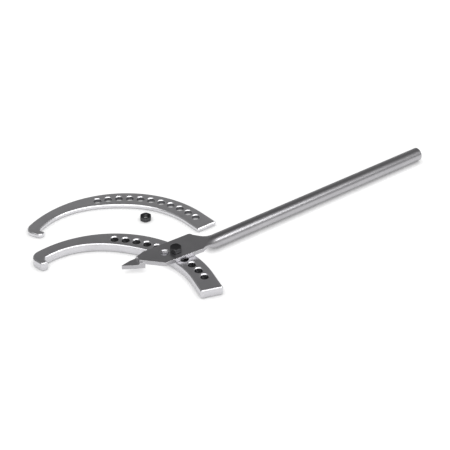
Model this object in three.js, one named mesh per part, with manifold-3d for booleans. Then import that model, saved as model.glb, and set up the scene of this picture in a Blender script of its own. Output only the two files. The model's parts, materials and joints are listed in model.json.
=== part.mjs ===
// Adjustable hook spanner with two interchangeable hook arms.
// A round bar is forged out into a flat head. The head carries a stepped-down tooth and a pivot bolt.
// A curved hook arm with a row of holes swings on that bolt, under the head.
// A second arm of half the thickness and a thin nut lie beside it.
// Millimetres, +X along the bar, +Z up, everything rests on z = 0.

import * as THREE from 'three';
import { mergeVertices } from 'three/addons/utils/BufferGeometryUtils.js';
import Module from 'manifold-3d';

const wasm = await Module();
wasm.setup();

// ---- driving dimensions ----

const barDiameter = 19.05;
const boltDiameter = 9.525;
const slidingGap = 0.2;

// hook arm outline, measured from the centre of its outer edge; the middle hole is at 0 degrees,
// and from about the last hole on the arm runs straight to its end face, which leans a few degrees
// so that the outer side is the longer one
const arm = {
  outerRadius: 143,
  innerRadius: 113.5,
  neckRadius: 125.5,
  taperStart: 12,
  taperEnd: 70,
  straightStart: -32.5,
  endLean: 6,
  holeCount: 11,
  holePitch: 14.95,
  holeDiameter: 10.4,
  hookFace: 79,
  hookEnd: 83.6,
  toeRadius: 116.3,
};

// what differs between the two arms; the thick arm's holes follow a flatter arc than its edge
const thickArm = {
  thickness: 12.7,
  holeArcRadius: 150,
  middleHoleRadius: 125.7,
  endLength: 28.7,
};
const thinArm = {
  thickness: 6.35,
  holeArcRadius: 129,
  middleHoleRadius: 129,
  endLength: 24.8,
};
const pivotHole = 6;

// head, seen from above: x from the pivot bolt, y from the bar's centre line
const pivotPlace = new THREE.Vector2(0, 2.5);
const secondHole = new THREE.Vector2(-13.8, 7.2);
const headCorners = {
  nearShoulder: new THREE.Vector2(36.2, -15),
  nearFront: new THREE.Vector2(-24.8, -11.5),
  toothRoot: new THREE.Vector2(-49.3, 13.2),
  farFront: new THREE.Vector2(-47.1, 21.9),
  farBend: new THREE.Vector2(-35.6, 25.6),
  farShoulder: new THREE.Vector2(37, 23.3),
};
const farShoulderRadius = 4;

// tooth, stepped down below the head
const toothThickness = 6.15;
const toothOutline = [
  new THREE.Vector2(-71.2, 23.4),
  new THREE.Vector2(-55.8, 13.6),
  new THREE.Vector2(-43.6, 7.4),
  new THREE.Vector2(-38.8, 25.6),
  new THREE.Vector2(-56, 26),
];
const toothTipFlat = 1.2;
const stepFilletRadius = 3;

// bar and neck
const barEnd = 420;
const barEndChamfer = 1.2;
const neckStart = 34.5;
const neckEnd = 63;
const neckFarFlare = 12;
const neckNearFlare = 4;
const neckNarrowingPower = 2.6;
const neckSquareness = 8;
const neckRoundingPower = 4;
const undersideDropStart = 0.1;
const undersideDropEnd = 0.9;
const barSides = 40;

// fasteners
const hexAcrossFlats = 14.29;
const boltHeadHeight = 6.2;
const nutHeight = 6.4;
const boltTipHeight = 0.4;
const hexFaceInset = 0.4;
const hexConeAngle = 30;
const roundSides = 32;

// where the loose pieces lie: x from the pivot bolt, y from the bar's centre line
const thickArmTurn = 20.8;
const thinArmCentre = new THREE.Vector2(-55.6, 50.2);
const thinArmTurn = 38.8;
const nutPlace = new THREE.Vector2(19.4, 105.1);
const hexTurn = 24.3;

// ---- worked-out dimensions ----

const barRadius = barDiameter / 2;
const headBottom = thickArm.thickness + slidingGap;
const toothBottom = headBottom - toothThickness;
const boltHoleRadius = arm.holeDiameter / 2;

// ---- materials ----

const satinSteel = new THREE.MeshStandardMaterial({ color: 0x9a9a9e, roughness: 0.35, metalness: 1 });
const polishedSteel = new THREE.MeshStandardMaterial({ color: 0xa6a6aa, roughness: 0.25, metalness: 1 });
const blackOxide = new THREE.MeshStandardMaterial({ color: 0x26262a, roughness: 0.5, metalness: 0.6 });

// ---- helpers ----

const radians = (degrees) => THREE.MathUtils.degToRad(degrees);

function polar(radius, degrees, centre = new THREE.Vector2()) {
  const angle = radians(degrees);
  return new THREE.Vector2(centre.x + radius * Math.cos(angle), centre.y + radius * Math.sin(angle));
}

// Points along an arc, both ends included.
function arcPoints(centre, radius, fromDegrees, toDegrees, steps) {
  const points = [];
  for (let i = 0; i <= steps; i += 1) {
    points.push(polar(radius, fromDegrees + ((toDegrees - fromDegrees) * i) / steps, centre));
  }
  return points;
}

// Angle, seen from the arm's centre, between a radial line and the centre of a fillet that touches it.
function filletOffset(filletRadius, centreRadius) {
  return THREE.MathUtils.radToDeg(Math.asin(filletRadius / centreRadius));
}

function circleHole(centre, radius, segments) {
  const hole = new THREE.Path();
  hole.setFromPoints(arcPoints(centre, radius, 0, 360, segments).slice(0, segments));
  return hole;
}

// A closed mesh of three.js turned into a manifold solid.
function toSolid(geometry) {
  const bare = geometry.index ? geometry.toNonIndexed() : geometry.clone();
  bare.deleteAttribute('normal');
  bare.deleteAttribute('uv');
  const merged = mergeVertices(bare, 1e-4);
  const mesh = new wasm.Mesh({
    numProp: 3,
    vertProperties: new Float32Array(merged.attributes.position.array),
    triVerts: new Uint32Array(merged.index.array),
  });
  return new wasm.Manifold(mesh);
}

function toGeometry(solid) {
  const mesh = solid.getMesh();
  const geometry = new THREE.BufferGeometry();
  geometry.setAttribute('position', new THREE.BufferAttribute(mesh.vertProperties, 3));
  geometry.setIndex(new THREE.BufferAttribute(mesh.triVerts, 1));
  geometry.computeVertexNormals();
  return geometry;
}

// A flat piece of the given outline between two heights.
function plate(shape, bottom, top) {
  const geometry = new THREE.ExtrudeGeometry(shape, { depth: top - bottom, bevelEnabled: false });
  geometry.translate(0, 0, bottom);
  return geometry;
}

function uprightCylinder(centre, radius, bottom, top, segments) {
  const geometry = new THREE.CylinderGeometry(radius, radius, top - bottom, segments);
  geometry.rotateX(Math.PI / 2);
  geometry.translate(centre.x, centre.y, (top + bottom) / 2);
  return geometry;
}

// ---- hook arms ----

// The inner edge runs parallel to the outer one along the holes, then closes in smoothly to the hook's neck.
function innerEdgeRadius(degrees) {
  const along = THREE.MathUtils.clamp((degrees - arm.taperStart) / (arm.taperEnd - arm.taperStart), 0, 1);
  const closed = (1 - Math.cos(Math.PI * along)) / 2;
  return arm.innerRadius + (arm.neckRadius - arm.innerRadius) * closed;
}

// Centre of one hole; holes are counted from the hook, and the middle one is on the arm's own x axis.
function holeCentre(kind, index) {
  const pitchAngle = THREE.MathUtils.radToDeg(arm.holePitch / kind.holeArcRadius);
  const middle = (arm.holeCount - 1) / 2;
  const arcCentre = new THREE.Vector2(kind.middleHoleRadius - kind.holeArcRadius, 0);
  return polar(kind.holeArcRadius, (middle - index) * pitchAngle, arcCentre);
}

// Outline of a hook arm, anticlockwise: outer edge, rounded hook, tooth, inner edge, straight free end.
function hookArmShape(kind) {
  const endCorner = 1.5;
  const hookCorner = 13;
  const toeCorner = 5;
  const toeTipCorner = 1;
  const rootFillet = 4;
  const centre = new THREE.Vector2();
  const points = [];

  const endAngle = arm.straightStart;
  const betweenCorners = arm.outerRadius - arm.innerRadius - 2 * endCorner;
  const innerLength = kind.endLength - endCorner;
  const outerLength = innerLength + betweenCorners * Math.tan(radians(arm.endLean));
  const outerCorner = polar(arm.outerRadius - endCorner, endAngle).add(polar(outerLength, endAngle - 90));
  points.push(...arcPoints(outerCorner, endCorner, endAngle - 90 - arm.endLean, endAngle, 4));

  const hookCentreRadius = arm.outerRadius - hookCorner;
  const hookCentreAngle = arm.hookEnd - filletOffset(hookCorner, hookCentreRadius);
  const outerEdgeSteps = 72;
  const outerEdge = arcPoints(centre, arm.outerRadius, endAngle, hookCentreAngle, outerEdgeSteps);
  points.push(...outerEdge.slice(0, -1));
  const hookCentre = polar(hookCentreRadius, hookCentreAngle);
  points.push(...arcPoints(hookCentre, hookCorner, hookCentreAngle, arm.hookEnd + 90, 10));

  const toeCentreRadius = arm.toeRadius + toeCorner;
  const toeCentreAngle = arm.hookEnd - filletOffset(toeCorner, toeCentreRadius);
  const toeCentre = polar(toeCentreRadius, toeCentreAngle);
  points.push(...arcPoints(toeCentre, toeCorner, arm.hookEnd + 90, toeCentreAngle + 180, 6));

  const tipCentreRadius = arm.toeRadius + toeTipCorner;
  const tipCentreAngle = arm.hookFace + filletOffset(toeTipCorner, tipCentreRadius);
  const tipCentre = polar(tipCentreRadius, tipCentreAngle);
  points.push(...arcPoints(tipCentre, toeTipCorner, tipCentreAngle + 180, arm.hookFace + 270, 3));

  const rootCentreRadius = arm.neckRadius - rootFillet;
  const rootCentreAngle = arm.hookFace - filletOffset(rootFillet, rootCentreRadius);
  const rootCentre = polar(rootCentreRadius, rootCentreAngle);
  points.push(...arcPoints(rootCentre, rootFillet, arm.hookFace + 90, rootCentreAngle, 6));

  const innerEdgeSteps = 66;
  for (let i = 1; i <= innerEdgeSteps; i += 1) {
    const degrees = rootCentreAngle + ((endAngle - rootCentreAngle) * i) / innerEdgeSteps;
    points.push(polar(innerEdgeRadius(degrees), degrees));
  }
  const innerCorner = polar(arm.innerRadius + endCorner, endAngle).add(polar(innerLength, endAngle - 90));
  points.push(...arcPoints(innerCorner, endCorner, endAngle + 180, endAngle + 270 - arm.endLean, 4));

  const shape = new THREE.Shape(points);
  for (let i = 0; i < arm.holeCount; i += 1) {
    shape.holes.push(circleHole(holeCentre(kind, i), boltHoleRadius, 24));
  }
  return shape;
}

function hookArm(name, kind) {
  const mesh = new THREE.Mesh(plate(hookArmShape(kind), 0, kind.thickness), satinSteel);
  mesh.name = name;
  return mesh;
}

// ---- handle: head, tooth, neck and bar in one forging ----

function headOutline() {
  const corners = headCorners;
  const roundCentre = new THREE.Vector2(
    corners.farShoulder.x - farShoulderRadius,
    corners.farShoulder.y - farShoulderRadius,
  );
  return [
    corners.nearShoulder,
    ...arcPoints(roundCentre, farShoulderRadius, 0, 90, 5),
    corners.farBend,
    corners.farFront,
    corners.toothRoot,
    corners.nearFront,
  ];
}

// The tooth's outline, with a small flat instead of a knife point.
function bluntToothOutline() {
  const [tip, ...others] = toothOutline;
  const towardsNear = others[0].clone().sub(tip).setLength(toothTipFlat);
  const towardsFar = others[others.length - 1].clone().sub(tip).setLength(toothTipFlat);
  return [tip.clone().add(towardsNear), ...others, tip.clone().add(towardsFar)];
}

// The concave fillet in the corner between the tooth's top and the head's front.
function stepFillet() {
  const across = headCorners.farFront.clone().sub(headCorners.toothRoot);
  const forwards = new THREE.Vector2(-across.y, across.x).normalize();
  const buried = 1;
  const nearOverhang = 6;
  const profile = new THREE.Shape();
  profile.moveTo(-buried, headBottom - buried);
  profile.lineTo(stepFilletRadius, headBottom - buried);
  profile.lineTo(stepFilletRadius, headBottom);
  const filletTop = headBottom + stepFilletRadius;
  profile.absarc(stepFilletRadius, filletTop, stepFilletRadius, -Math.PI / 2, -Math.PI, true);
  profile.lineTo(-buried, filletTop);
  const length = across.length() + nearOverhang;
  const extrusion = { depth: length, bevelEnabled: false, curveSegments: 6 };
  const geometry = new THREE.ExtrudeGeometry(profile, extrusion);
  geometry.translate(0, 0, -nearOverhang);
  const unitAcross = across.clone().normalize();
  const placement = new THREE.Matrix4().makeBasis(
    new THREE.Vector3(forwards.x, forwards.y, 0),
    new THREE.Vector3(0, 0, 1),
    new THREE.Vector3(unitAcross.x, unitAcross.y, 0),
  );
  placement.setPosition(headCorners.toothRoot.x, headCorners.toothRoot.y, 0);
  geometry.applyMatrix4(placement);
  return geometry;
}

// Head plate, tooth blade, the full-depth block under the head where it steps down, and the step's fillet.
function headSolid() {
  const headShape = new THREE.Shape(headOutline());
  const toothShape = new THREE.Shape(bluntToothOutline());
  const overTooth = toSolid(plate(toothShape, toothBottom, barDiameter));
  const underHead = toSolid(plate(headShape, toothBottom, barDiameter)).intersect(overTooth);
  return toSolid(plate(headShape, headBottom, barDiameter))
    .add(toSolid(plate(toothShape, toothBottom, headBottom)))
    .add(underHead)
    .add(toSolid(stepFillet()).intersect(overTooth));
}

// A smooth step from 0 to 1.
function ease(t) {
  const clamped = THREE.MathUtils.clamp(t, 0, 1);
  return clamped * clamped * (3 - 2 * clamped);
}

// Rings from the head's rectangle to the bar's circle, skinned and capped.
// Each ring is a superellipse: an exponent of 2 is round, and a higher one is squarer.
function neckGeometry() {
  const rings = 18;
  const roundSection = 2;
  const positions = [];
  const indices = [];
  for (let i = 0; i <= rings; i += 1) {
    const t = i / rings;
    const x = neckStart + (neckEnd - neckStart) * t;
    const narrowing = Math.pow(1 - t, neckNarrowingPower);
    const farSide = barRadius + neckFarFlare * narrowing;
    const nearSide = barRadius + neckNearFlare * narrowing;
    const dropped = ease((t - undersideDropStart) / (undersideDropEnd - undersideDropStart));
    const bottom = headBottom * (1 - dropped);
    const squareness = roundSection + (neckSquareness - roundSection) * Math.pow(1 - t, neckRoundingPower);
    const centreY = (farSide - nearSide) / 2;
    const halfWidth = (farSide + nearSide) / 2;
    const centreZ = (barDiameter + bottom) / 2;
    const halfHeight = (barDiameter - bottom) / 2;
    for (let j = 0; j < barSides; j += 1) {
      const angle = (2 * Math.PI * j) / barSides;
      const c = Math.cos(angle);
      const s = Math.sin(angle);
      const y = centreY + halfWidth * Math.sign(c) * Math.pow(Math.abs(c), 2 / squareness);
      const z = centreZ + halfHeight * Math.sign(s) * Math.pow(Math.abs(s), 2 / squareness);
      positions.push(x, y, z);
    }
  }
  for (let i = 0; i < rings; i += 1) {
    for (let j = 0; j < barSides; j += 1) {
      const a = i * barSides + j;
      const b = i * barSides + ((j + 1) % barSides);
      indices.push(a, b, b + barSides, a, b + barSides, a + barSides);
    }
  }
  const lastRing = rings * barSides;
  for (let j = 1; j < barSides - 1; j += 1) {
    indices.push(0, j + 1, j);
    indices.push(lastRing, lastRing + j, lastRing + j + 1);
  }
  const geometry = new THREE.BufferGeometry();
  geometry.setAttribute('position', new THREE.Float32BufferAttribute(positions, 3));
  geometry.setIndex(indices);
  return geometry;
}

// The bar starts a little inside the neck so that the two merge.
function barGeometry() {
  const barStart = neckEnd - 0.5;
  const profile = [
    new THREE.Vector2(0, barStart),
    new THREE.Vector2(barRadius, barStart),
    new THREE.Vector2(barRadius, barEnd - barEndChamfer),
    new THREE.Vector2(barRadius - barEndChamfer, barEnd),
    new THREE.Vector2(0, barEnd),
  ];
  const geometry = new THREE.LatheGeometry(profile, barSides);
  geometry.rotateZ(-Math.PI / 2);
  geometry.rotateX(Math.PI / barSides);
  geometry.translate(0, 0, barRadius);
  return geometry;
}

// A drill for a round hole, run past the faces at the two heights.
function drill(centre, radius, bottom, top) {
  return toSolid(uprightCylinder(centre, radius, bottom - 1, top + 1, roundSides));
}

function handle() {
  const solid = headSolid()
    .add(toSolid(neckGeometry()))
    .add(toSolid(barGeometry()))
    .subtract(drill(pivotPlace, boltHoleRadius, headBottom, barDiameter))
    .subtract(drill(secondHole, boltHoleRadius, headBottom, barDiameter));
  const mesh = new THREE.Mesh(toGeometry(solid), polishedSteel);
  mesh.name = 'handle';
  return mesh;
}

// ---- fasteners ----

// A hexagon with its corners turned off by a shallow cone at the chosen ends.
function hexSolid(bottom, top, coneTop, coneBottom) {
  const cornerRadius = hexAcrossFlats / Math.sqrt(3);
  const prism = toSolid(uprightCylinder(new THREE.Vector2(), cornerRadius, bottom, top, 6));
  const outside = cornerRadius + 1;
  const faceRadius = hexAcrossFlats / 2 - hexFaceInset;
  const drop = (outside - faceRadius) * Math.tan(radians(hexConeAngle));
  const profile = [new THREE.Vector2(0, bottom)];
  if (coneBottom) {
    profile.push(new THREE.Vector2(faceRadius, bottom));
  }
  profile.push(new THREE.Vector2(outside, coneBottom ? bottom + drop : bottom));
  profile.push(new THREE.Vector2(outside, coneTop ? top - drop : top));
  if (coneTop) {
    profile.push(new THREE.Vector2(faceRadius, top));
  }
  profile.push(new THREE.Vector2(0, top));
  const cone = new THREE.LatheGeometry(profile, roundSides);
  cone.rotateX(Math.PI / 2);
  return prism.intersect(toSolid(cone));
}

function pivotBolt() {
  const headSeat = barDiameter + slidingGap;
  const shankTop = headSeat + 1;
  const shankRadius = boltDiameter / 2;
  const tipChamfer = 1;
  const shank = new THREE.LatheGeometry(
    [
      new THREE.Vector2(0, boltTipHeight),
      new THREE.Vector2(shankRadius - tipChamfer, boltTipHeight),
      new THREE.Vector2(shankRadius, boltTipHeight + tipChamfer),
      new THREE.Vector2(shankRadius, shankTop),
      new THREE.Vector2(0, shankTop),
    ],
    roundSides,
  );
  shank.rotateX(Math.PI / 2);
  const solid = hexSolid(headSeat, headSeat + boltHeadHeight, true, false).add(toSolid(shank));
  const mesh = new THREE.Mesh(toGeometry(solid), blackOxide);
  mesh.name = 'pivot_bolt';
  return mesh;
}

function lockNut() {
  const bore = drill(new THREE.Vector2(), boltDiameter / 2, 0, nutHeight);
  const solid = hexSolid(0, nutHeight, true, true).subtract(bore);
  const mesh = new THREE.Mesh(toGeometry(solid), blackOxide);
  mesh.name = 'lock_nut';
  return mesh;
}

// ---- assembly ----

const group = new THREE.Group();

function place(mesh, spot, turn) {
  mesh.position.set(spot.x, spot.y, 0);
  mesh.rotation.z = radians(turn);
  group.add(mesh);
}

group.add(handle());

// the thick arm is placed so that its pivot hole is under the bolt
const pivotOffset = holeCentre(thickArm, pivotHole).rotateAround(new THREE.Vector2(), radians(thickArmTurn));
place(hookArm('thick_hook_arm', thickArm), pivotPlace.clone().sub(pivotOffset), thickArmTurn);
place(hookArm('thin_hook_arm', thinArm), thinArmCentre, thinArmTurn);
place(pivotBolt(), pivotPlace, hexTurn);
place(lockNut(), nutPlace, hexTurn);

// the origin is under the middle of the whole layout
group.updateMatrixWorld(true);
const bounds = new THREE.Box3().setFromObject(group, true);
const middlePoint = bounds.getCenter(new THREE.Vector3());
group.position.set(-middlePoint.x, -middlePoint.y, -bounds.min.z);

export default group;
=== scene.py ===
# Adjustable hook spanner: detailed meshes, materials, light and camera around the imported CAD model.
# Outlines are in millimetres. The handle's are written with x from the pivot bolt and y from the bar's
# centre line, and each arm's round its own centre.

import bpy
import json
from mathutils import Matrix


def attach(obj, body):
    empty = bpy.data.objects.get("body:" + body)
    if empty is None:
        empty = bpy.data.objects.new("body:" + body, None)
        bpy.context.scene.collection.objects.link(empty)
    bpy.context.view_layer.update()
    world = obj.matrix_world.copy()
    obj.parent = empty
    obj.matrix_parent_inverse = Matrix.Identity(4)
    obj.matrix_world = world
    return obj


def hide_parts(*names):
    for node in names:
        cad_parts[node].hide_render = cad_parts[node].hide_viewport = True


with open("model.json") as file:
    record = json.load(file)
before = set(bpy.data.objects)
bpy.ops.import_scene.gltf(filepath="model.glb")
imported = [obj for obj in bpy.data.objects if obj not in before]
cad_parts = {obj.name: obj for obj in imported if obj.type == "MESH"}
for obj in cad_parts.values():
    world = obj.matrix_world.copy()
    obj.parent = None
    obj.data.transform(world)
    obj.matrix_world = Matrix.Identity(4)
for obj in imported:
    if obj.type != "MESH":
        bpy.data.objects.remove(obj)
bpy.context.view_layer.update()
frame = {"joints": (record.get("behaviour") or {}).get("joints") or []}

import json
import math

import bmesh
import bpy
from mathutils import Matrix, Vector

MM = 0.001

# ---- driving dimensions, the same as the CAD model's ----

BAR_DIAMETER = 19.05
BAR_RADIUS = BAR_DIAMETER / 2
BOLT_DIAMETER = 9.525
THREAD_PITCH = 25.4 / 16
THREAD_DEPTH = 0.6
THREAD_ROWS = 32
SLIDING_GAP = 0.2
HOLE_DIAMETER = 10.4
PIVOT_FROM_BAR = 2.5
PIVOT_HOLE = 6

ARM = {
    "outer_radius": 143.0,
    "inner_radius": 113.5,
    "neck_radius": 125.5,
    "taper_start": 12.0,
    "taper_end": 70.0,
    "straight_start": -32.5,
    "end_lean": 6.0,
    "hole_count": 11,
    "hole_pitch": 14.95,
    "hook_face": 79.0,
    "hook_end": 83.6,
    "toe_radius": 116.3,
}
THICK_ARM = {
    "thickness": 12.7,
    "hole_arc": 150.0,
    "middle_hole": 125.7,
    "end_length": 28.7,
    "countersink": 1.1,
    "tapped": True,
}
THIN_ARM = {
    "thickness": 6.35,
    "hole_arc": 129.0,
    "middle_hole": 129.0,
    "end_length": 24.8,
    "countersink": 0.9,
    "tapped": False,
}
THICK_ARM_TURN = 20.8
THIN_ARM_TURN = 38.8
THIN_ARM_CENTRE = Vector((-55.6, 50.2))
NUT_PLACE = Vector((19.4, 105.1))
HEX_TURN = 24.3

NEAR_SHOULDER = Vector((36.2, -15.0))
NEAR_FRONT = Vector((-24.8, -11.5))
TOOTH_ROOT = Vector((-49.3, 13.2))
FAR_FRONT = Vector((-47.1, 21.9))
FAR_BEND = Vector((-35.6, 25.6))
FAR_SHOULDER = Vector((37.0, 23.3))
FAR_SHOULDER_RADIUS = 4.0
SECOND_HOLE = Vector((-13.8, 7.2))
PIVOT_PLACE = Vector((0.0, PIVOT_FROM_BAR))

TOOTH_TIP = Vector((-71.2, 23.4))
TOOTH_NEAR_BEND = Vector((-55.8, 13.6))
TOOTH_NEAR_BACK = Vector((-43.6, 7.4))
TOOTH_FAR_BACK = Vector((-38.8, 25.6))
TOOTH_FAR_BEND = Vector((-56.0, 26.0))
TOOTH_THICKNESS = 6.15
STEP_FILLET = 3.0

BAR_END = 420.0
NECK_START = 34.5
NECK_END = 63.0
NECK_FAR_FLARE = 12.0
NECK_NEAR_FLARE = 4.0

HEX_ACROSS_FLATS = 14.29
HEX_FACE_INSET = 0.4
HEX_FACE_RADIUS = HEX_ACROSS_FLATS / 2 - HEX_FACE_INSET
BOLT_HEAD_HEIGHT = 6.2
NUT_HEIGHT = 6.4
BOLT_TIP_HEIGHT = 0.4

HEAD_BOTTOM = THICK_ARM["thickness"] + SLIDING_GAP
TOOTH_BOTTOM = HEAD_BOTTOM - TOOTH_THICKNESS

# in degrees: half of one side of a hexagon, and the slope of the chamfer on its corners
HEX_HALF_SIDE = 30.0
HEX_CONE = 30.0

# softening of the plated edges: the arms are chamfered, the head's holes countersunk, the rest rounded
ARM_CHAMFER = 1.5
HEAD_EDGE = 0.5
TOOTH_EDGE = 0.5
HEAD_COUNTERSINK = 1.0
BAR_EDGE = 1.6
BOLT_HEX_EDGE = 0.22
NUT_HEX_EDGE = 0.18

# corners closer together than this are one corner
WELD_DISTANCE = 0.0005

# points round each ring of the bolt and the nut
RING_STEPS = 72


# ---- places in the frame ----

joint = {j["name"]: j for j in frame["joints"]}
pivot = Vector(joint["hook_pivot"]["pos_m"])
bar_origin = Vector((pivot.x / MM, pivot.y / MM - PIVOT_FROM_BAR, 0))


def on_table(point):
    """Where a point of the outlines lies on the table in the row frame, in millimetres."""
    return bar_origin + Vector((point.x, point.y, 0))


# ---- plane geometry ----

def polar(radius, degrees, centre=Vector((0, 0))):
    angle = math.radians(degrees)
    return Vector((centre.x + radius * math.cos(angle), centre.y + radius * math.sin(angle)))


def arc(centre, radius, start, end, steps):
    """Points along an arc, both ends included."""
    return [polar(radius, start + (end - start) * i / steps, centre) for i in range(steps + 1)]


def circle(centre, radius, sides, sweep=360):
    """Corners round a circle, without the first one again at the end; a sweep of -360 goes clockwise."""
    return arc(centre, radius, 0, sweep, sides)[:-1]


def ease(t):
    """A smooth step from 0 to 1."""
    t = min(max(t, 0.0), 1.0)
    return t * t * (3 - 2 * t)


def corner_arc(before, corner, after, radius, steps):
    """The arc that rounds a corner between two straight edges."""
    back = (before - corner).normalized()
    ahead = (after - corner).normalized()
    half = back.angle(ahead) / 2
    centre = corner + (back + ahead).normalized() * (radius / math.sin(half))
    start = corner + back * (radius / math.tan(half)) - centre
    end = corner + ahead * (radius / math.tan(half)) - centre
    turn = start.angle_signed(end)
    return [centre + Matrix.Rotation(-turn * i / steps, 2) @ start for i in range(steps + 1)]


def chamfer_profile(bottom, top, size):
    """(inset, height) pairs up the side of a plate with a soft-cornered chamfer on both edges."""
    half_chamfer = [(1.15, 0.0), (0.85, 0.12), (0.12, 0.85), (0.0, 1.15)]
    lower = [(size * inset, bottom + size * height) for inset, height in half_chamfer]
    upper = [(inset, top - (height - bottom)) for inset, height in reversed(lower)]
    return lower + upper


# ---- mesh building ----

def new_object(name, bm, place=Vector((0, 0, 0)), turn=0.0):
    """Puts a mesh made in millimetres into the scene, in metres, in the row frame."""
    bmesh.ops.remove_doubles(bm, verts=bm.verts, dist=WELD_DISTANCE)
    bmesh.ops.recalc_face_normals(bm, faces=bm.faces)
    placement = Matrix.Diagonal((MM, MM, MM, 1)) @ Matrix.Translation(place)
    bm.transform(placement @ Matrix.Rotation(math.radians(turn), 4, "Z"))
    mesh = bpy.data.meshes.new(name)
    bm.to_mesh(mesh)
    bm.free()
    piece = bpy.data.objects.new(name, mesh)
    bpy.context.scene.collection.objects.link(piece)
    return piece


def shade(piece, sharp_degrees=38):
    """Smooth shading that keeps broad faces flat and hard edges crisp."""
    mesh = piece.data
    mesh.shade_smooth()
    mesh.set_sharp_from_angle(angle=math.radians(sharp_degrees))
    weighted = piece.modifiers.new("flat_faces", "WEIGHTED_NORMAL")
    weighted.mode = "FACE_AREA"
    weighted.weight = 100
    weighted.keep_sharp = True


def add_ring(bm, points):
    return [bm.verts.new(p) for p in points]


def join_rings(bm, lower, upper):
    count = len(lower)
    for i in range(count):
        j = (i + 1) % count
        bm.faces.new((lower[i], lower[j], upper[j], upper[i]))


def outward_normals(loop):
    """Unit normals at the corners of a closed loop, to the right of its direction, with mitred lengths."""
    count = len(loop)
    normals = []
    for i in range(count):
        before = (loop[i] - loop[i - 1]).normalized()
        after = (loop[(i + 1) % count] - loop[i]).normalized()
        mid = Vector((before.y + after.y, -before.x - after.x)).normalized()
        mitre = max(mid.dot(Vector((after.y, -after.x))), 0.5)
        normals.append(mid / mitre)
    return normals


def thread_inset(height, share, depth):
    """How far a helical V groove is cut in at a height, at a share of a turn."""
    phase = (height / THREAD_PITCH - share) % 1.0
    return depth * (1 - abs(2 * phase - 1))


def plate_side(bm, loop, profile, groove=None):
    """The side of a plate along one loop. Returns its bottom and top rings."""
    normals = outward_normals(loop)
    count = len(loop)
    rings = []
    for inset, height in profile:
        points = []
        for i, (point, normal) in enumerate(zip(loop, normals)):
            extra = groove(height, i / count) if groove else 0.0
            flat = point - normal * (inset + extra)
            points.append((flat.x, flat.y, height))
        rings.append(add_ring(bm, points))
    for lower, upper in zip(rings, rings[1:]):
        join_rings(bm, lower, upper)
    return rings[0], rings[-1]


def fill_between(bm, rings, normal):
    """Fills a flat face whose border and holes are the given rings."""
    edges = []
    for ring in rings:
        for i, vert in enumerate(ring):
            edges.append(bm.edges.get((vert, ring[(i + 1) % len(ring)])))
    bmesh.ops.triangle_fill(bm, use_beauty=True, edges=edges, normal=normal)


def section(near, far, bottom, top, radius, roundness, corner_steps):
    """A ring in the upright plane through two points: a rounded rectangle, or partly an ellipse."""
    across = far - near
    width = across.length
    height = top - bottom
    radius = max(min(radius, width / 2, height / 2), 0.0)
    corners = [
        (radius, bottom + radius, 180),
        (width - radius, bottom + radius, 270),
        (width - radius, top - radius, 0),
        (radius, top - radius, 90),
    ]
    points = []
    for u, z, start in corners:
        for k in range(corner_steps + 1):
            angle = math.radians(start + 90 * k / corner_steps)
            square = Vector((u + radius * math.cos(angle), z + radius * math.sin(angle)))
            middle = Vector((width / 2, (top + bottom) / 2))
            oval = middle + Vector((width / 2 * math.cos(angle), height / 2 * math.sin(angle)))
            point = square.lerp(oval, roundness)
            flat = near + across.normalized() * point.x
            points.append((flat.x, flat.y, point.y))
    return points


def loft(stations, corner_steps):
    """A closed body skinned over stations of (near, far, bottom, top, radius, roundness)."""
    bm = bmesh.new()
    rings = [add_ring(bm, section(*station, corner_steps)) for station in stations]
    for lower, upper in zip(rings, rings[1:]):
        join_rings(bm, lower, upper)
    bm.faces.new(rings[0])
    bm.faces.new(rings[-1])
    return bm


def applied(piece):
    """Bakes the piece's modifiers into its mesh."""
    bpy.context.view_layer.update()
    depsgraph = bpy.context.evaluated_depsgraph_get()
    mesh = bpy.data.meshes.new_from_object(piece.evaluated_get(depsgraph))
    mesh.materials.clear()
    piece.modifiers.clear()
    piece.data = mesh


def boolean(piece, other, operation):
    """Joins another body to the piece, or cuts it away, then removes that body."""
    modifier = piece.modifiers.new("cut", "BOOLEAN")
    modifier.operation = operation
    modifier.solver = "MANIFOLD"
    modifier.object = other
    applied(piece)
    bpy.data.objects.remove(other)


# ---- hook arms ----

def fillet_offset(fillet, centre_radius):
    """Angle, seen from the arm's centre, between a radial line and a fillet that touches it."""
    return math.degrees(math.asin(fillet / centre_radius))


def inner_edge_radius(degrees):
    """The inner edge closes in from the free end's radius to the neck behind the hook."""
    along = (degrees - ARM["taper_start"]) / (ARM["taper_end"] - ARM["taper_start"])
    along = min(max(along, 0.0), 1.0)
    closed = (1 - math.cos(math.pi * along)) / 2
    return ARM["inner_radius"] + (ARM["neck_radius"] - ARM["inner_radius"]) * closed


def hole_centre(kind, index):
    """Centre of a hole in the arm's own outline, counted from the hook."""
    pitch = math.degrees(ARM["hole_pitch"] / kind["hole_arc"])
    middle = (ARM["hole_count"] - 1) / 2
    arc_centre = Vector((kind["middle_hole"] - kind["hole_arc"], 0))
    return polar(kind["hole_arc"], (middle - index) * pitch, arc_centre)


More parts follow.
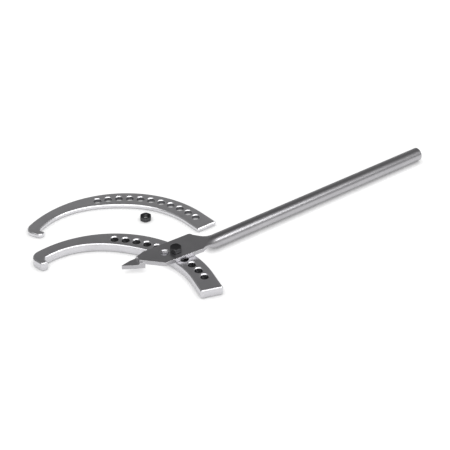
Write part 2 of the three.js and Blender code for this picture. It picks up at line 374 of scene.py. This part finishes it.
def arm_outline(kind):
    """Anticlockwise: outer edge, rounded hook, toe, inner edge, straight free end."""
    end_corner = 1.8
    hook_corner = 13.0
    toe_corner = 5.0
    toe_tip_corner = 1.3
    root_fillet = 4.0
    end_corner_steps = 6
    outer_steps = 120
    hook_steps = 16
    toe_steps = 8
    toe_tip_steps = 5
    root_steps = 8
    inner_steps = 110
    outer = ARM["outer_radius"]
    points = []

    end_angle = ARM["straight_start"]
    between_corners = outer - ARM["inner_radius"] - 2 * end_corner
    inner_length = kind["end_length"] - end_corner
    outer_length = inner_length + between_corners * math.tan(math.radians(ARM["end_lean"]))
    outer_corner = polar(outer - end_corner, end_angle) + polar(outer_length, end_angle - 90)
    points += arc(outer_corner, end_corner, end_angle - 90 - ARM["end_lean"], end_angle, end_corner_steps)

    ring = outer - hook_corner
    hook_start = ARM["hook_end"] - fillet_offset(hook_corner, ring)
    points += arc(Vector((0, 0)), outer, end_angle, hook_start, outer_steps)[:-1]
    points += arc(polar(ring, hook_start), hook_corner, hook_start, ARM["hook_end"] + 90, hook_steps)

    ring = ARM["toe_radius"] + toe_corner
    toe = ARM["hook_end"] - fillet_offset(toe_corner, ring)
    points += arc(polar(ring, toe), toe_corner, ARM["hook_end"] + 90, toe + 180, toe_steps)

    ring = ARM["toe_radius"] + toe_tip_corner
    tip = ARM["hook_face"] + fillet_offset(toe_tip_corner, ring)
    points += arc(polar(ring, tip), toe_tip_corner, tip + 180, ARM["hook_face"] + 270, toe_tip_steps)

    ring = ARM["neck_radius"] - root_fillet
    root = ARM["hook_face"] - fillet_offset(root_fillet, ring)
    points += arc(polar(ring, root), root_fillet, ARM["hook_face"] + 90, root, root_steps)

    for i in range(1, inner_steps + 1):
        degrees = root + (end_angle - root) * i / inner_steps
        points.append(polar(inner_edge_radius(degrees), degrees))
    inner_corner = polar(ARM["inner_radius"] + end_corner, end_angle) + polar(inner_length, end_angle - 90)
    last = end_angle + 270 - ARM["end_lean"]
    points += arc(inner_corner, end_corner, end_angle + 180, last, end_corner_steps)
    return points


def hole_profile(bottom, top, countersink, rows):
    """(inset, height) pairs up a hole that is countersunk on both sides."""
    low = bottom + countersink
    high = top - countersink
    wall = [(0.0, low + (high - low) * k / rows) for k in range(rows + 1)]
    return [(countersink, bottom)] + wall + [(countersink, top)]


def arm_piece(name, kind, place, turn):
    """A hook arm with chamfered edges and countersunk holes whose walls are painted darker, as shade; the
    holes of a tapped arm are threaded.
    """
    bm = bmesh.new()
    thickness = kind["thickness"]
    sink = kind["countersink"]
    outline = plate_side(bm, arm_outline(kind), chamfer_profile(0, thickness, ARM_CHAMFER))
    bottoms = [outline[0]]
    tops = [outline[1]]

    def groove(height, share):
        """A right-hand thread. The hole's loop runs clockwise, so its share is counted backwards."""
        threaded = kind["tapped"] and sink < height < thickness - sink
        return thread_inset(height, -share, THREAD_DEPTH) if threaded else 0.0

    rows = THREAD_ROWS if kind["tapped"] else 1
    sides = 36
    outline_faces = len(bm.faces)
    for i in range(ARM["hole_count"]):
        edge = circle(hole_centre(kind, i), HOLE_DIAMETER / 2, sides, sweep=-360)
        lower, upper = plate_side(bm, edge, hole_profile(0, thickness, sink, rows), groove)
        bottoms.append(lower)
        tops.append(upper)
    bm.faces.ensure_lookup_table()
    # hole walls between the countersinks take the second, darker material: painted shade inside the holes
    for face in bm.faces[outline_faces:]:
        height = face.calc_center_median().z
        face.material_index = 1 if sink < height < thickness - sink else 0
    fill_between(bm, bottoms, (0, 0, -1))
    fill_between(bm, tops, (0, 0, 1))
    piece = new_object(name, bm, place, turn)
    shade(piece)
    return piece


# ---- handle ----

def between(start, end, shares):
    return [start.lerp(end, share) for share in shares]


def head_stations():
    """Stations from the head's front to its shoulders, near and far points in step."""
    across = (FAR_FRONT - TOOTH_ROOT).normalized()
    inward = Vector((across.y, -across.x))
    near_way = (NEAR_FRONT - TOOTH_ROOT).normalized()
    far_way = (FAR_BEND - FAR_FRONT).normalized()

    def near_at(depth):
        return TOOTH_ROOT + near_way * (depth / near_way.dot(inward))

    def far_at(depth):
        return FAR_FRONT + far_way * (depth / far_way.dot(inward))

    found = []
    edge_steps = 4
    for k in range(edge_steps + 1):
        angle = math.radians(90 * k / edge_steps)
        inset = HEAD_EDGE * (1 - math.sin(angle))
        depth = HEAD_EDGE * (1 - math.cos(angle))
        found.append((near_at(depth) + across * inset, far_at(depth) - across * inset,
                      HEAD_BOTTOM + inset, BAR_DIAMETER - inset, HEAD_EDGE - inset, 0.0))

    behind_edge = 3.0
    bend_radius = 3.0
    bend_steps = 6
    near_line = [near_at(behind_edge)]
    near_line += corner_arc(TOOTH_ROOT, NEAR_FRONT, NEAR_SHOULDER, bend_radius, bend_steps)
    far_line = [far_at(behind_edge)]
    far_line += corner_arc(FAR_FRONT, FAR_BEND, FAR_SHOULDER, bend_radius, bend_steps)
    shares = [0.25, 0.5, 0.75]
    near_stop = NEAR_SHOULDER - (NEAR_SHOULDER - NEAR_FRONT).normalized() * FAR_SHOULDER_RADIUS
    far_stop = Vector((FAR_SHOULDER.x - FAR_SHOULDER_RADIUS, FAR_SHOULDER.y))
    near_line += between(near_line[-1], near_stop, shares) + [near_stop]
    far_line += between(far_line[-1], far_stop, shares) + [far_stop]
    for near, far in zip(near_line, far_line):
        found.append((near, far, HEAD_BOTTOM, BAR_DIAMETER, HEAD_EDGE, 0.0))
    return found


def neck_stations():
    """Stations from the shoulders down to the round bar."""
    found = []
    steps = 30
    flare_power = 2.6
    drop_start = 0.1
    drop_span = 0.8
    rounding_rate = 1.3
    for i in range(1, steps + 1):
        t = i / steps
        x = NECK_START + (NECK_END - NECK_START) * t
        narrowing = (1 - t) ** flare_power
        far = BAR_RADIUS + NECK_FAR_FLARE * narrowing
        near = BAR_RADIUS + NECK_NEAR_FLARE * narrowing
        shoulder = max(FAR_SHOULDER.x - x, 0.0) / FAR_SHOULDER_RADIUS
        if shoulder > 0:
            far = FAR_SHOULDER.y - FAR_SHOULDER_RADIUS * (1 - math.sqrt(1 - (1 - shoulder) ** 2))
        bottom = HEAD_BOTTOM * (1 - ease((t - drop_start) / drop_span))
        radius = HEAD_EDGE + (BAR_RADIUS - HEAD_EDGE) * ease(t)
        roundness = ease(t * rounding_rate)
        found.append((Vector((x, -near)), Vector((x, far)), bottom, BAR_DIAMETER, radius, roundness))
    return found


def bar_stations():
    """Stations along the round bar and over its softened end."""
    found = []
    spans = 12
    for i in range(1, spans + 1):
        x = NECK_END + (BAR_END - BAR_EDGE - NECK_END) * i / spans
        found.append((Vector((x, -BAR_RADIUS)), Vector((x, BAR_RADIUS)), 0.0, BAR_DIAMETER, BAR_RADIUS, 1.0))
    edge_steps = 5
    for k in range(1, edge_steps + 1):
        angle = math.radians(90 * k / edge_steps)
        inset = BAR_EDGE * (1 - math.cos(angle))
        x = BAR_END - BAR_EDGE + BAR_EDGE * math.sin(angle)
        side = BAR_RADIUS - inset
        found.append((Vector((x, -side)), Vector((x, side)), inset, BAR_DIAMETER - inset, side, 1.0))
    return found


def tooth_stations():
    """The stepped-down tooth: parallel stations from its buried back to its blunt tip."""
    across = (FAR_FRONT - TOOTH_ROOT).normalized()
    forward = Vector((-across.y, across.x))

    def depth_of(point):
        return (point - TOOTH_ROOT).dot(forward)

    def along(points, depth):
        for a, b in zip(points, points[1:]):
            if depth_of(a) <= depth <= depth_of(b):
                return a.lerp(b, (depth - depth_of(a)) / (depth_of(b) - depth_of(a)))
        return points[0] if depth < depth_of(points[0]) else points[-1]

    near_line = [TOOTH_NEAR_BACK, TOOTH_NEAR_BEND, TOOTH_TIP]
    far_line = [TOOTH_FAR_BACK, TOOTH_FAR_BEND, TOOTH_TIP]
    buried_top = HEAD_BOTTOM + STEP_FILLET
    reach = depth_of(TOOTH_TIP)
    back = max(depth_of(TOOTH_NEAR_BACK), depth_of(TOOTH_FAR_BACK))
    behind_step = -0.3
    fillet_steps = 8
    tip_flat = 1.2
    tip_rub = 0.3
    depths = [back, back * 0.5, behind_step]
    for k in range(fillet_steps + 1):
        depths.append(STEP_FILLET * (1 - math.cos(math.radians(90 * k / fillet_steps))))
    depths += [depth_of(TOOTH_NEAR_BEND), depth_of(TOOTH_FAR_BEND)]
    depths += [reach * share for share in (0.5, 0.62, 0.74, 0.86)]
    depths += [reach - tip_flat - tip_rub, reach - tip_flat]
    found = []
    for depth in sorted(depths):
        top = HEAD_BOTTOM
        if depth < STEP_FILLET:
            run = min(STEP_FILLET - max(depth, 0.0), STEP_FILLET)
            top = buried_top - math.sqrt(max(STEP_FILLET ** 2 - run ** 2, 0.0))
        inset = max(0.0, tip_rub - (reach - tip_flat - depth))
        found.append((along(near_line, depth), along(far_line, depth), TOOTH_BOTTOM + inset, top - inset,
                      TOOTH_EDGE, 0.0))
    return found


def hole_cutter(name, centre):
    """A round cutter with flared ends, so that the hole comes out countersunk on both faces."""
    bm = bmesh.new()
    radius = HOLE_DIAMETER / 2
    profile = hole_profile(HEAD_BOTTOM, BAR_DIAMETER, HEAD_COUNTERSINK, 1)
    flared = radius + HEAD_COUNTERSINK
    overshoot = 1
    sides = 48
    shape = [(flared, HEAD_BOTTOM - overshoot)]
    shape += [(radius + inset, height) for inset, height in profile]
    shape += [(flared, BAR_DIAMETER + overshoot)]
    rings = []
    for r, z in shape:
        rings.append(add_ring(bm, [(p.x, p.y, z) for p in circle(centre, r, sides)]))
    for lower, upper in zip(rings, rings[1:]):
        join_rings(bm, lower, upper)
    bm.faces.new(rings[0])
    bm.faces.new(rings[-1])
    return new_object(name, bm, bar_origin)


def handle_piece():
    stations = head_stations() + neck_stations() + bar_stations()
    piece = new_object("handle_forging", loft(stations, corner_steps=10), bar_origin)
    tooth = new_object("tooth", loft(tooth_stations(), corner_steps=5), bar_origin)
    boolean(piece, tooth, "UNION")
    boolean(piece, hole_cutter("pivot_hole", PIVOT_PLACE), "DIFFERENCE")
    boolean(piece, hole_cutter("second_hole", SECOND_HOLE), "DIFFERENCE")
    shade(piece)
    return piece


# ---- fasteners ----

def hex_radius(degrees):
    """Distance from a hexagon's centre to its side, with the corners slightly rubbed."""
    off_flat = (degrees + HEX_HALF_SIDE) % (2 * HEX_HALF_SIDE) - HEX_HALF_SIDE
    corner_rub = 0.12
    limit = HEX_ACROSS_FLATS / math.sqrt(3) - corner_rub
    return min(HEX_ACROSS_FLATS / 2 / math.cos(math.radians(off_flat)), limit)


def hex_ring(height, cone=0):
    """A ring round the hexagon; its corners fall away on a cone, down for 1 and up for -1."""
    points = []
    for i in range(RING_STEPS):
        degrees = 360 * i / RING_STEPS
        radius = hex_radius(degrees + HEX_HALF_SIDE)
        drop = max(radius - HEX_FACE_RADIUS, 0.0) * math.tan(math.radians(HEX_CONE))
        flat = polar(radius, degrees)
        points.append((flat.x, flat.y, height - cone * drop))
    return points


def round_ring(radius, height):
    return [(p.x, p.y, height) for p in circle(Vector((0, 0)), radius, RING_STEPS)]


def thread_ring(radius, height, depth):
    """A ring round a thread; depth is positive for an outside thread and negative for a bore."""
    points = []
    for i in range(RING_STEPS):
        cut = thread_inset(height, i / RING_STEPS, abs(depth))
        flat = polar(radius - cut if depth > 0 else radius + cut, 360 * i / RING_STEPS)
        points.append((flat.x, flat.y, height))
    return points


def skin(bm, rings, close_ends):
    """Skins a stack of rings: capped at both ends, or with the last ring joined to the first."""
    made = [add_ring(bm, ring) for ring in rings]
    for lower, upper in zip(made, made[1:]):
        join_rings(bm, lower, upper)
    if close_ends:
        bm.faces.new(made[0])
        bm.faces.new(made[-1])
    else:
        join_rings(bm, made[-1], made[0])


def soften(piece, place, width):
    """Rounds the hexagon's hard edges and leaves the thread's crisp."""
    axis = Vector((place.x, place.y)) * MM
    past_thread = 1.0
    thread_side = (BOLT_DIAMETER / 2 + past_thread) * MM
    hard_angle = math.radians(28)
    bm = bmesh.new()
    bm.from_mesh(piece.data)
    weight = bm.edges.layers.float.new("bevel_weight_edge")
    for edge in bm.edges:
        nearest = min((vert.co.xy - axis).length for vert in edge.verts)
        hard = edge.calc_face_angle(0.0) > hard_angle
        edge[weight] = 1.0 if hard and nearest > thread_side else 0.0
    bm.to_mesh(piece.data)
    bm.free()
    bevel = piece.modifiers.new("rounded_edges", "BEVEL")
    bevel.width = width * MM
    bevel.segments = 2
    bevel.limit_method = "WEIGHT"
    bevel.use_clamp_overlap = True
    applied(piece)
    shade(piece, sharp_degrees=50)


def bolt_piece():
    """Hexagon bolt: chamfered head on a washer face, plain shank, rolled thread and a pointed-off tip."""
    bm = bmesh.new()
    seat = BAR_DIAMETER + SLIDING_GAP
    top = seat + BOLT_HEAD_HEIGHT
    shank = BOLT_DIAMETER / 2
    half_flats = HEX_ACROSS_FLATS / 2
    tip_shape = [(1.0, 0.0), (0.8, 0.1)]
    thread_start = BOLT_TIP_HEIGHT + 0.8
    thread_top = 14.0
    rows_per_turn = 6
    thread_runout = 0.5
    shallowest_thread = 0.001
    seat_inset = 0.25
    washer_inset = 0.15
    washer_face = 0.35
    face_middle = 1.2

    rings = [round_ring(shank - inset, BOLT_TIP_HEIGHT + height) for inset, height in tip_shape]
    rows = int((thread_top - thread_start) / (THREAD_PITCH / rows_per_turn))
    for k in range(rows + 1):
        height = thread_start + k * THREAD_PITCH / rows_per_turn
        fade = min(1.0, (rows - k) / rows_per_turn)
        rings.append(thread_ring(shank, height, max(THREAD_DEPTH * fade, shallowest_thread)))
    rings.append(round_ring(shank, thread_top + thread_runout))
    rings.append(round_ring(shank, seat))
    rings.append(round_ring(half_flats - seat_inset, seat))
    rings.append(round_ring(half_flats - washer_inset, seat + washer_face))
    rings.append(hex_ring(seat + washer_face))
    rings.append(hex_ring(top, cone=1))
    rings.append(round_ring(HEX_FACE_RADIUS, top))
    rings.append(round_ring(HEX_FACE_RADIUS - face_middle, top))
    skin(bm, rings, close_ends=True)
    place = on_table(PIVOT_PLACE)
    piece = new_object("bolt_body", bm, place, HEX_TURN - HEX_HALF_SIDE)
    soften(piece, place, BOLT_HEX_EDGE)
    return piece


def nut_piece():
    """Thin hexagon nut, chamfered on both sides, with a countersunk threaded bore."""
    bm = bmesh.new()
    crest_inset = 0.2
    bore = BOLT_DIAMETER / 2 - crest_inset
    countersink = 0.7
    rows = 16
    rings = [round_ring(bore + countersink, 0.0), round_ring(HEX_FACE_RADIUS, 0.0)]
    rings += [hex_ring(0.0, cone=-1), hex_ring(NUT_HEIGHT, cone=1)]
    rings += [round_ring(HEX_FACE_RADIUS, NUT_HEIGHT), round_ring(bore + countersink, NUT_HEIGHT)]
    for k in range(rows + 1):
        height = NUT_HEIGHT - countersink - (NUT_HEIGHT - 2 * countersink) * k / rows
        rings.append(thread_ring(bore, height, -THREAD_DEPTH))
    skin(bm, rings, close_ends=False)
    place = on_table(NUT_PLACE)
    piece = new_object("nut_body", bm, place, HEX_TURN - HEX_HALF_SIDE)
    soften(piece, place, NUT_HEX_EDGE)
    return piece


# ---- materials ----

# dark and light tones, the tone of rubbed edges, and the range of roughness
STEELS = {
    "thick_arm_steel": ((0.57, 0.565, 0.585), (0.63, 0.625, 0.645), (0.86, 0.86, 0.88), (0.28, 0.36)),
    "thin_arm_steel": ((0.66, 0.655, 0.675), (0.72, 0.715, 0.735), (0.88, 0.88, 0.9), (0.28, 0.36)),
    "handle_steel": ((0.42, 0.415, 0.43), (0.46, 0.455, 0.47), (0.8, 0.8, 0.81), (0.3, 0.34)),
    "black_steel": ((0.055, 0.055, 0.058), (0.09, 0.09, 0.093), (0.17, 0.17, 0.17), (0.36, 0.48)),
    # the last two are painted shade for the arms' hole walls, darker than the plating
    "thread_painted_shade": ((0.03, 0.03, 0.035), (0.07, 0.07, 0.075), (0.1, 0.1, 0.1), (0.45, 0.6)),
    "bore_painted_shade": ((0.16, 0.16, 0.17), (0.24, 0.24, 0.25), (0.3, 0.3, 0.3), (0.4, 0.5)),
}
NOISE_DETAIL = 3.0
NOISE_LOW = 0.3
NOISE_HIGH = 0.7
CLOUD_SCALE = 55.0
BRUSHING_SCALE = 900.0
BRUSHING_STRETCH = (0.25, 1, 1)
BRUSHING_STRENGTH = 0.012
BRUSHING_DEPTH = 0.00005
RUBBED_WIDTH = 0.0009
RUBBED_FROM = 0.995
RUBBED_FULLY = 0.9


def node(tree, kind, **inputs):
    made = tree.nodes.new(kind)
    for key, value in inputs.items():
        setattr(made, key, value)
    return made


def steel(name, dark, light, worn, roughness_range):
    """Plated steel: cloudy tone, fine scratches and lightly rubbed edges."""
    material = bpy.data.materials.new(name)
    material.use_nodes = True
    tree = material.node_tree
    links = tree.links
    shader = tree.nodes["Principled BSDF"]
    shader.inputs["Metallic"].default_value = 1.0
    place = node(tree, "ShaderNodeTexCoord")

    clouds = node(tree, "ShaderNodeTexNoise")
    clouds.inputs["Scale"].default_value = CLOUD_SCALE
    clouds.inputs["Detail"].default_value = NOISE_DETAIL
    links.new(place.outputs["Object"], clouds.inputs["Vector"])
    tone = node(tree, "ShaderNodeValToRGB")
    tone.color_ramp.elements[0].position = NOISE_LOW
    tone.color_ramp.elements[0].color = (*dark, 1)
    tone.color_ramp.elements[1].position = NOISE_HIGH
    tone.color_ramp.elements[1].color = (*light, 1)
    links.new(clouds.outputs["Fac"], tone.inputs["Fac"])

    rounded = node(tree, "ShaderNodeBevel")
    rounded.samples = 4
    rounded.inputs["Radius"].default_value = RUBBED_WIDTH
    plain = node(tree, "ShaderNodeNewGeometry")
    facing = node(tree, "ShaderNodeVectorMath", operation="DOT_PRODUCT")
    links.new(rounded.outputs["Normal"], facing.inputs[0])
    links.new(plain.outputs["Normal"], facing.inputs[1])
    edge = node(tree, "ShaderNodeMapRange")
    edge.inputs["From Min"].default_value = RUBBED_FROM
    edge.inputs["From Max"].default_value = RUBBED_FULLY
    links.new(facing.outputs["Value"], edge.inputs["Value"])
    worn_mix = node(tree, "ShaderNodeMix", data_type="RGBA")
    links.new(edge.outputs["Result"], worn_mix.inputs["Factor"])
    links.new(tone.outputs["Color"], worn_mix.inputs["A"])
    worn_mix.inputs["B"].default_value = (*worn, 1)
    links.new(worn_mix.outputs["Result"], shader.inputs["Base Color"])

    stretch = node(tree, "ShaderNodeMapping")
    stretch.inputs["Scale"].default_value = BRUSHING_STRETCH
    links.new(place.outputs["Object"], stretch.inputs["Vector"])
    brushing = node(tree, "ShaderNodeTexNoise")
    brushing.inputs["Scale"].default_value = BRUSHING_SCALE
    brushing.inputs["Detail"].default_value = NOISE_DETAIL
    links.new(stretch.outputs["Vector"], brushing.inputs["Vector"])
    roughness = node(tree, "ShaderNodeMapRange")
    roughness.inputs["From Min"].default_value = NOISE_LOW
    roughness.inputs["From Max"].default_value = NOISE_HIGH
    roughness.inputs["To Min"].default_value = roughness_range[0]
    roughness.inputs["To Max"].default_value = roughness_range[1]
    links.new(brushing.outputs["Fac"], roughness.inputs["Value"])
    links.new(roughness.outputs["Result"], shader.inputs["Roughness"])
    bump = node(tree, "ShaderNodeBump")
    bump.inputs["Strength"].default_value = BRUSHING_STRENGTH
    bump.inputs["Distance"].default_value = BRUSHING_DEPTH
    links.new(brushing.outputs["Fac"], bump.inputs["Height"])
    links.new(bump.outputs["Normal"], shader.inputs["Normal"])
    return material


materials = {name: steel(name, *tones) for name, tones in STEELS.items()}


def finish_piece(piece, body, slot, *material_names):
    """Gives a piece its materials and puts it in the place of a CAD body."""
    for name in material_names:
        piece.data.materials.append(materials[name])
    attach(piece, body)
    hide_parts(body)


# ---- build ----

finish_piece(handle_piece(), "handle", "handle_steel", "handle_steel")

thick_turn = Matrix.Rotation(math.radians(THICK_ARM_TURN), 2)
thick_centre = PIVOT_PLACE - thick_turn @ hole_centre(THICK_ARM, PIVOT_HOLE)
thick_arm = arm_piece("thick_arm_plate", THICK_ARM, on_table(thick_centre), THICK_ARM_TURN)
finish_piece(thick_arm, "thick_hook_arm", "arm_steel", "thick_arm_steel", "thread_painted_shade")

thin_arm = arm_piece("thin_arm_plate", THIN_ARM, on_table(THIN_ARM_CENTRE), THIN_ARM_TURN)
finish_piece(thin_arm, "thin_hook_arm", "arm_steel", "thin_arm_steel", "bore_painted_shade")

finish_piece(bolt_piece(), "pivot_bolt", "black_steel", "black_steel")
finish_piece(nut_piece(), "lock_nut", "black_steel", "black_steel")


# ---- floor, light and camera ----

CAMERA_AZIMUTH = -35.68
CAMERA_ELEVATION = 36.31
CAMERA_DISTANCE = 1.784
CAMERA_LENS = 105.5
AIM_FROM_PIVOT = Vector((0.0994, 0.0291, 0.0))

FLOOR_HALF_SIZE = 8.0
FLOOR_DROP = 0.0002
FLOOR_TONE = 0.85
FLOOR_ROUGHNESS = 0.9
FLOOR_GLOW = 0.8
# distance within which the floor's glow fades near the steel: painted shade
SHADE_REACH = 0.009

# the studio's brightness: (cosine of the angle from its leaning axis, brightness)
STUDIO_LEAN = 20.0
STUDIO_LEVELS = [(0.0, 0.5), (0.2, 0.32), (0.34, 0.25), (0.83, 0.31), (0.94, 0.1)]
OVERHEAD_STRENGTH = 0.35
OVERHEAD_SPREAD = 120.0

# direction from the aim point, distance, size and brightness of each softbox
SOFTBOXES = {
    "bar_light": ((0.56, -1.24, 1.31), 1.9, (0.8, 0.95), 3.7),
    "bar_fill": ((1.45, -1.24, 1.31), 2.3, (1.1, 1.1), 0.3),
    "edge_light": ((-0.75, -0.75, 1.6), 1.9, (2.2, 1.1), 2.4),
}

look = Vector((-math.sin(math.radians(CAMERA_AZIMUTH)), math.cos(math.radians(CAMERA_AZIMUTH)), 0))
aim = Vector((pivot.x, pivot.y, 0)) + AIM_FROM_PIVOT


def add_camera():
    """A long lens that looks down on the tool from the near side."""
    data = bpy.data.cameras.new("camera")
    data.lens = CAMERA_LENS
    data.sensor_width = 36
    data.clip_end = 50
    camera = bpy.data.objects.new("camera", data)
    bpy.context.scene.collection.objects.link(camera)
    rise = math.radians(CAMERA_ELEVATION)
    height = CAMERA_DISTANCE * math.sin(rise)
    camera.location = aim - look * CAMERA_DISTANCE * math.cos(rise) + Vector((0, 0, height))
    camera.rotation_euler = (aim - camera.location).to_track_quat("-Z", "Y").to_euler()
    bpy.context.scene.camera = camera


def add_floor():
    """White paper that glows a little, so that it has no long shadows; the glow fades close to the steel and
    inside the holes, which paints shade there.
    """
    bm = bmesh.new()
    bmesh.ops.create_grid(bm, x_segments=1, y_segments=1, size=FLOOR_HALF_SIZE)
    mesh = bpy.data.meshes.new("floor")
    bm.to_mesh(mesh)
    bm.free()
    floor = bpy.data.objects.new("floor", mesh)
    floor.location = (0, 0, -FLOOR_DROP)
    bpy.context.scene.collection.objects.link(floor)
    material = bpy.data.materials.new("pale_floor")
    material.use_nodes = True
    shader = material.node_tree.nodes["Principled BSDF"]
    shader.inputs["Base Color"].default_value = (FLOOR_TONE, FLOOR_TONE, FLOOR_TONE, 1)
    shader.inputs["Roughness"].default_value = FLOOR_ROUGHNESS
    shader.inputs["Specular IOR Level"].default_value = 0.0
    shader.inputs["Emission Color"].default_value = (1, 1, 1, 1)
    # ambient occlusion dims the glow near the steel and in the holes: painted shade
    painted_shade_ao = node(material.node_tree, "ShaderNodeAmbientOcclusion", samples=8)
    painted_shade_ao.inputs["Distance"].default_value = SHADE_REACH
    glow = node(material.node_tree, "ShaderNodeMath", operation="MULTIPLY")
    glow.inputs[1].default_value = FLOOR_GLOW
    material.node_tree.links.new(painted_shade_ao.outputs["AO"], glow.inputs[0])
    material.node_tree.links.new(glow.outputs["Value"], shader.inputs["Emission Strength"])
    mesh.materials.append(material)


def add_softbox(name, direction, distance, size, radiance):
    """A rectangular light that shows in the steel; direction is from the aim point, in the row frame."""
    data = bpy.data.lights.new(name, "AREA")
    data.shape = "RECTANGLE"
    data.size = size[0]
    data.size_y = size[1]
    data.energy = radiance * math.pi * size[0] * size[1]
    lamp = bpy.data.objects.new(name, data)
    bpy.context.scene.collection.objects.link(lamp)
    lamp.location = aim + Vector(direction).normalized() * distance
    lamp.rotation_euler = (aim - lamp.location).to_track_quat("-Z", "Y").to_euler()
    lamp.visible_diffuse = False


def add_overhead_light():
    """Broad soft light that whitens the floor and stays out of the steel's reflections."""
    data = bpy.data.lights.new("overhead", "SUN")
    data.energy = OVERHEAD_STRENGTH
    data.angle = math.radians(OVERHEAD_SPREAD)
    lamp = bpy.data.objects.new("overhead", data)
    bpy.context.scene.collection.objects.link(lamp)
    lamp.visible_glossy = False


def set_world():
    """A grey studio: light low down behind the camera, darker overhead and towards the far side."""
    world = bpy.data.worlds.new("studio")
    bpy.context.scene.world = world
    world.use_nodes = True
    tree = world.node_tree
    background = tree.nodes["Background"]
    place = node(tree, "ShaderNodeTexCoord")
    across = node(tree, "ShaderNodeVectorMath", operation="DOT_PRODUCT")
    lean = math.radians(STUDIO_LEAN)
    across.inputs[1].default_value = Vector((0, 0, math.cos(lean))) + look * math.sin(lean)
    tree.links.new(place.outputs["Generated"], across.inputs[0])
    ramp = node(tree, "ShaderNodeValToRGB")
    elements = ramp.color_ramp.elements
    while len(elements) < len(STUDIO_LEVELS):
        elements.new(0.5)
    for element, (position, level) in zip(elements, STUDIO_LEVELS):
        element.position = position
        element.color = (level, level, level, 1)
    tree.links.new(across.outputs["Value"], ramp.inputs["Fac"])
    tree.links.new(ramp.outputs["Color"], background.inputs["Color"])


add_camera()
add_floor()
set_world()
add_overhead_light()
for softbox, (direction, distance, size, radiance) in SOFTBOXES.items():
    add_softbox(softbox, direction, distance, size, radiance)
bpy.context.scene.view_settings.view_transform = "Standard"

bpy.context.view_layer.update()
